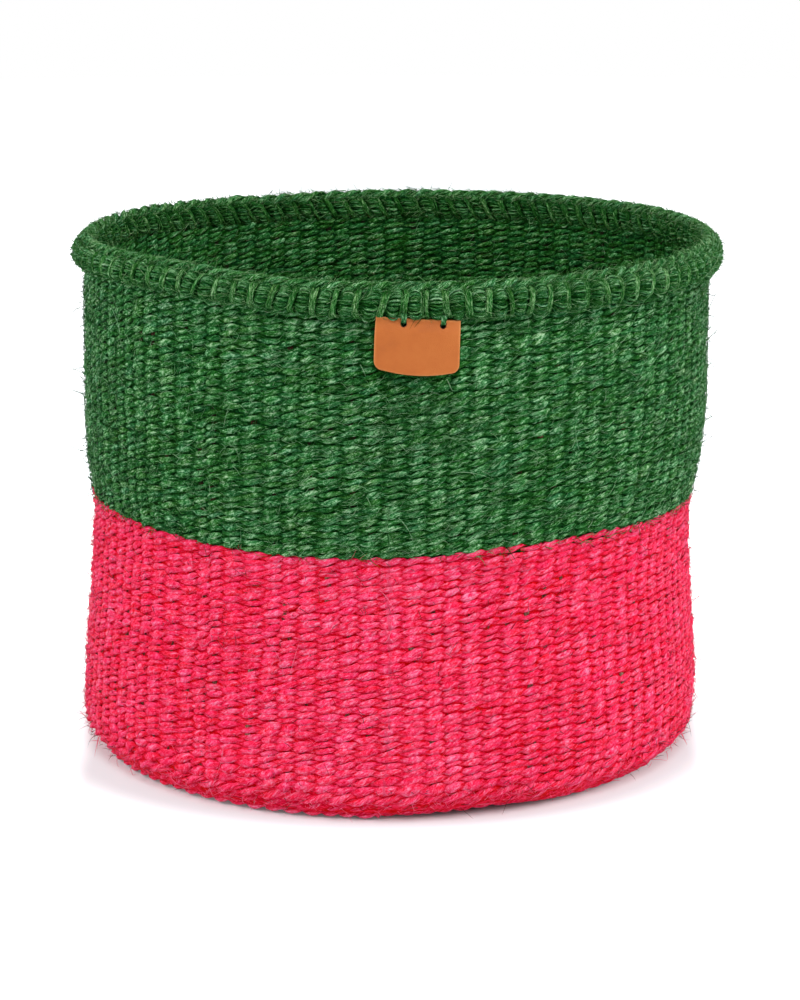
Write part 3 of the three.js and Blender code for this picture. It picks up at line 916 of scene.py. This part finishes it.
# A stitch's way from under the rim into its hole: its share of a yarn's shift, its height
# on the tag and how far it is outside the tag's back
STITCH_PATH = np.array([
    (1.6, TAG_HEIGHT / 2 + 2.4, TAG_THICKNESS + 1.9),
    (1.4, TAG_HEIGHT / 2 + 0.6, TAG_THICKNESS + 1.4),
    (1, TAG_HOLE_HEIGHT + 1.5, TAG_THICKNESS + 0.9),
    (1, TAG_HOLE_HEIGHT + 0.75, TAG_THICKNESS + 0.2),
    (1, TAG_HOLE_HEIGHT + 0.45, TAG_THICKNESS / 2),
    (1, TAG_HOLE_HEIGHT + 0.4, -0.4),
])


def add_tag_stitch(name, x, node):
    """A loop of two yarns from under the rim into a hole of the tag."""
    yarns = []
    for shift in (-0.38, 0.38):
        path = STITCH_PATH * (shift, 1, 1) + (x, 0, 0)
        steps = np.linspace(0, 5, 22)
        path = np.stack([smoothed(np.interp(steps, range(6), path[:, k])[None], 2, False)[0]
                         for k in range(3)], axis=1)
        centres = tag_place(path[:, 0], path[:, 1], path[:, 2])
        normals = normalised(np.stack([centres[:, 0], centres[:, 1],
                                       np.full(len(steps), 60.0)], axis=1))
        yarns.append(tube(centres, normals, 0.5, 0.62, 7, False, 0.5, twist=0.3))
    add_piece(name, yarns, GREEN_LOOK, [node])


add_tag()
add_tag_stitch("tag_loop_left", TAG_HOLES[0], "tag_stitch_left")
add_tag_stitch("tag_loop_right", TAG_HOLES[1], "tag_stitch_right")


# Loose fibres: short fuzz that lies on the weave, and longer hairs that stand off it

# How far their roots are from the fabric's middle, how clear of the tag, and how far their
# points are from the floor
ROOT_LIFT, TAG_CLEARANCE, HAIR_CLEARANCE = 1.9, 2.5, 0.2


def upwards(normals):
    """Directions along a surface that go up it as steeply as they can."""
    return normalised(np.cross(np.cross(normals, (0, 0, 1)), normals))


def fibre_strands(roots, length, lean, stand, radius, tone, samples, arch=0.0):
    """Tapered hairs. lean is the angle up from level along the surface, stand how steep."""
    roots, normals, uphill = roots
    count = len(roots)
    level = normalised(np.cross(uphill, normals))
    heading = np.cos(lean)[:, None] * level + np.sin(lean)[:, None] * uphill
    sideways = np.cross(normals, heading)
    share = np.linspace(0, 1, samples)[None, :, None]
    curl = random.normal(0, 0.42, (2, count))[..., None, None]
    length, stand = length[:, None, None], stand[:, None, None]
    rise = stand * share + arch * 4 * share * (1 - share) + 0.35 * curl[1] * share ** 2 * stand
    points = (roots[:, None] + length * (
        share * np.sqrt(np.clip(1 - stand ** 2, 0.05, 1)) * heading[:, None]
        + curl[0] * share ** 2 * sideways[:, None] + rise * normals[:, None]))
    points[..., 2] -= (0.16 * length * stand * share ** 2)[..., 0]
    points[..., 2] = np.maximum(points[..., 2], HAIR_CLEARANCE)
    size = radius[:, None] * (1 - 0.75 * share[..., 0] ** 2)
    facing = np.broadcast_to(normals[:, None], points.shape)
    return tube(points, facing, size, size, 3, False, tone[:, None])


def wall_roots(count, low, high, inside_share):
    """Places on the wall from arc low to arc high, but not on the tag."""
    angle = random.uniform(-math.pi, math.pi, count)
    arc = random.uniform(low, high, count)
    inside = random.random(count) < inside_share
    on_tag = (from_tag(angle, arc) < TAG_CLEARANCE) & ~inside
    arc = np.where(on_tag, arc - 1.3 * TAG_HEIGHT, arc)
    roots, normals = fabric_place(angle, arc, np.where(inside, -ROOT_LIFT, ROOT_LIFT))
    normals = np.where(inside[:, None], -normals, normals)
    return roots, normals, upwards(normals)


def ring_roots(count, low, high, place):
    """Places round a ring, from angle low to angle high of its section in half turns."""
    angle = random.uniform(-math.pi, math.pi, count)
    section = random.uniform(low, high, count) * math.pi
    return (place(section, angle), section_normals(section, angle),
            around(-np.sin(section), angle, np.cos(section)))


def rim_roots(count):
    return ring_roots(count, -0.45, 1.15, rim_place)


def rope_place(section, angle):
    return around(ROPE_PLACE[0] + ROPE_REACH * np.cos(section), angle,
                  ROPE_PLACE[1] + ROPE_REACH * np.sin(section))


def rope_roots(count):
    return ring_roots(count, -0.15, 1.2, rope_place)


def hairs(roots, length, lean, stand, tone_range, radius, samples, arch=0.0):
    """Hairs of uneven thickness and tone."""
    count = len(length)
    return fibre_strands(roots, length, lean, stand, random.uniform(0.6, 1, count) * radius,
                         random.uniform(*tone_range, count), samples, arch)


def lying(roots, tone_range, radius, longest=6.0):
    """Fibres that lean with the stitches and lie close."""
    count = len(roots[0])
    return hairs(roots, random.uniform(1.5, longest, count), random.normal(0.28, 0.4, count),
                 random.uniform(0.0, 0.1, count), tone_range, radius, 4, arch=0.05)


def fuzz(roots, tone_range, radius):
    """Short fibre ends that stand off the surface."""
    count = len(roots[0])
    return hairs(roots, random.uniform(0.9, 2.6, count), random.normal(0.3, 1.0, count),
                 random.uniform(0.35, 0.9, count), tone_range, radius, 4)


def standing(roots, longest, tone_range, radius):
    """Hairs that stand off the surface."""
    count = len(roots[0])
    length = np.minimum(2.5 + random.gamma(1.6, longest / 5, count), longest)
    return hairs(roots, length, random.uniform(-0.9, 4.0, count),
                 random.uniform(0.3, 0.85, count), tone_range, radius, 6)


def stray(places, radius):
    """Long single hairs, each with a bearing, a height, a lean, a length, how steeply it
    stands and a tone."""
    bearing, height, lean, length, stand, tone = np.array(places, float).T
    arc = arc_at_height(height)
    roots, normals = fabric_place(np.deg2rad(bearing), arc, np.full(len(arc), 2.1))
    return fibre_strands((roots, normals, upwards(normals)), length, np.deg2rad(lean), stand,
                         np.full(len(arc), radius), tone, 9)


foot_arc, top_arc = PLAIT_ARC - 2, arc_at_height(HAIR_TOP)
for part in (1, 2):
    add_piece(f"loose_green_fibres_{part}", [
        lying(wall_roots(7500, COLOUR_ARC, top_arc, 0.25), (0.25, 0.9), 0.18),
        lying(wall_roots(30, COLOUR_ARC, top_arc, 0.1), (0.75, 1.0), 0.15, 15.0),
    ], GREEN_LOOK)
add_piece("loose_green_fibres_3", [
    fuzz(wall_roots(6500, COLOUR_ARC, top_arc, 0.15), (0.0, 0.6), 0.2),
    standing(wall_roots(1500, COLOUR_ARC, top_arc, 0.1), 11, (0.0, 0.4), 0.23),
    stray([(-56.5, 188, 62, 9, 0.3, 1.0), (-12.2, 204, 42, 9, 0.15, 0.9),
           (-5.8, 189, -55, 5, 0.1, 1.0), (8.6, 183, -66, 5, 0.1, 1.0),
           (1, 128, -40, 11, 0.1, 0.9), (-75, 132, 170, 12, 0.5, 0.3),
           (-88, 150, 150, 14, 0.8, 0.1), (-84, 190, 200, 10, 0.7, 0.2),
           (-89, 124, 172, 20, 0.75, 0.1), (-90, 161, 176, 14, 0.85, 0.1),
           (84, 176, 20, 11, 0.7, 0.2), (88, 140, -30, 10, 0.6, 0.3),
           (-30, 160, 75, 13, 0.15, 0.9), (33, 150, 120, 12, 0.15, 0.9)], 0.2),
], GREEN_LOOK)
add_piece("loose_rim_fibres", [
    lying(rim_roots(3200), (0.25, 0.9), 0.15),
    lying(rim_roots(90), (0.6, 1.0), 0.15, 14.0),
    fuzz(rim_roots(2600), (0.1, 0.8), 0.14),
    standing(rim_roots(420), 7, (0.0, 0.7), 0.19),
    standing(rim_roots(40), 11, (0.1, 0.9), 0.16),
], LOOP_LOOK)
add_piece("loose_rope_fibres", [
    lying(rope_roots(1800), (0.35, 0.9), 0.15),
    fuzz(rope_roots(2600), (0.2, 0.85), 0.15),
    standing(rope_roots(420), 6, (0.1, 0.8), 0.17),
], LOOP_LOOK)
add_piece("loose_pink_fibres", [
    lying(wall_roots(4600, foot_arc, COLOUR_ARC, 0.2), (0.35, 0.85), 0.13),
    lying(wall_roots(60, foot_arc, COLOUR_ARC, 0.1), (0.8, 1.0), 0.14, 16.0),
    fuzz(wall_roots(4000, foot_arc, COLOUR_ARC, 0.15), (0.15, 0.7), 0.16),
    fuzz(wall_roots(500, foot_arc - 3, foot_arc + 6, 0.0), (0.8, 1.0), 0.14),
    standing(wall_roots(560, foot_arc, COLOUR_ARC, 0.1), 9, (0.0, 0.6), 0.2),
    standing(wall_roots(240, PLAIT_ARC - 6, PLAIT_ARC + 2, 0.0), 7, (0.85, 1.0), 0.15),
    stray([(-1.8, 97.4, -35, 11, 0.1, 1.0), (-0.8, 76, 42, 9, 0.1, 1.0),
           (-18.5, 60, 88, 16, 0.1, 0.9), (-17.2, 62, 75, 14, 0.12, 1.0),
           (-29.9, 28, -88, 14, 0.12, 1.0), (24, 70, 60, 10, 0.15, 1.0)], 0.16),
], PINK_LOOK)
add_piece("loose_dark_fibres", [
    standing(wall_roots(460, PLAIT_ARC - 6, COLOUR_ARC, 0.0), 7, (0.0, 0.6), 0.14),
    standing(wall_roots(160, PLAIT_ARC - 6, PLAIT_ARC + 4, 0.0), 6, (0.0, 0.6), 0.14),
    fuzz(wall_roots(900, PLAIT_ARC - 4, COLOUR_ARC, 0.0), (0.0, 0.6), 0.15),
], WARP_LOOK)


# Floor, camera and light

FLOOR_RADIUS, FLOOR_SIDES = 3, 96
# The floor's glow, painted light that shows only where the floor is looked at, grows over
# three overlapping rings and sets how far the basket's shadow reaches. Each has its stretch
# along the axes, its shift to the side, where it starts and ends, in metres, and how much it
# adds.
GLOW_RINGS = [
    ((1.08, 1, 1), 0.0, 0.118, 0.133, 0.14),
    ((0.94, 1, 1), 0.006, 0.132, 0.16, 0.61),
    ((1, 0, 0), 0.0, 0.127, 0.143, 0.6),
]


def add_floor():
    """A white floor, whose painted glow begins past the basket's contact shadow and sets its
    reach.
    """
    mesh = bpy.data.meshes.new("studio_floor")
    mesh.from_pydata([(FLOOR_RADIUS * math.cos(turn), FLOOR_RADIUS * math.sin(turn), 0)
                      for turn in whole_turn(FLOOR_SIDES)], [], [list(range(FLOOR_SIDES))])
    nodes = Nodes(bpy.data.materials.new("studio_floor_look"))
    place = nodes.add("TexCoord").outputs["Object"]
    glow = 0.0
    for stretch, shift, start, end, most in GLOW_RINGS:
        spot = nodes.add("VectorMath", {0: place, 1: stretch, 2: (shift, 0, 0)},
                         operation="MULTIPLY_ADD").outputs["Vector"]
        reach = nodes.add("VectorMath", {0: spot}, operation="LENGTH")
        ring = nodes.add("MapRange", {
            "Value": reach.outputs["Value"], "From Min": start, "From Max": end,
            "To Min": 0.0, "To Max": most,
        }, interpolation_type="SMOOTHSTEP")
        glow = nodes.math("ADD", ring.outputs["Result"], glow)
    mesh.materials.append(nodes.shaded(
        Base_Color=(0.72, 0.79, 0.82, 1), Roughness=1.0, Specular_IOR_Level=0.0,
        Emission_Color=(1, 1, 1, 1),
        Emission_Strength=nodes.math("MULTIPLY", glow, nodes.seen())))
    floor = add_object("studio_floor", mesh)


LAMP_AIM = np.array((0, 0, 0.12))
LAMP_SIZE = 1.2
LAMPS = [
    ("right_light", (1.7, -0.6, 1.2), 22),
    ("left_light", (-1.7, -0.6, 1.15), 19.5),
    ("front_light", (0.2, -1.7, 2.1), 27),
]


def add_light(name, place, power):
    """A round lamp that faces LAMP_AIM."""
    data = bpy.data.lights.new(name, "AREA")
    data.shape, data.size, data.energy = "DISK", LAMP_SIZE, power
    lamp = add_object(name, data)
    lamp.location = place
    x, y, z = LAMP_AIM - place
    lamp.rotation_euler = (math.pi / 2 - math.atan2(-z, math.hypot(x, y)), 0,
                           math.atan2(-x, y))


ROOM_LIGHT = 0.4


def add_world():
    """A white room, which lights the basket less than it shows."""
    world = bpy.data.worlds.new("studio")
    bpy.context.scene.world = world
    nodes = Nodes(world, "Background")
    level = nodes.add("MapRange", {"Value": nodes.seen(), "To Min": ROOM_LIGHT, "To Max": 1.0})
    nodes.shaded(Color=(1, 1, 1, 1), Strength=level.outputs["Result"])


CAMERA_PLACE = (0.0035, -1.217, 0.4035)
CAMERA_DOWN = 13.92


def add_camera():
    data = bpy.data.cameras.new("camera")
    data.sensor_width, data.lens, data.clip_start = 36.0, 102.67, 0.01
    camera = add_object("camera", data)
    camera.location = CAMERA_PLACE
    camera.rotation_euler = (math.radians(90 - CAMERA_DOWN), 0, 0)
    bpy.context.scene.camera = camera


add_floor()
add_world()
for lamp in LAMPS:
    add_light(*lamp)
add_camera()
bpy.context.scene.view_settings.view_transform = "Standard"
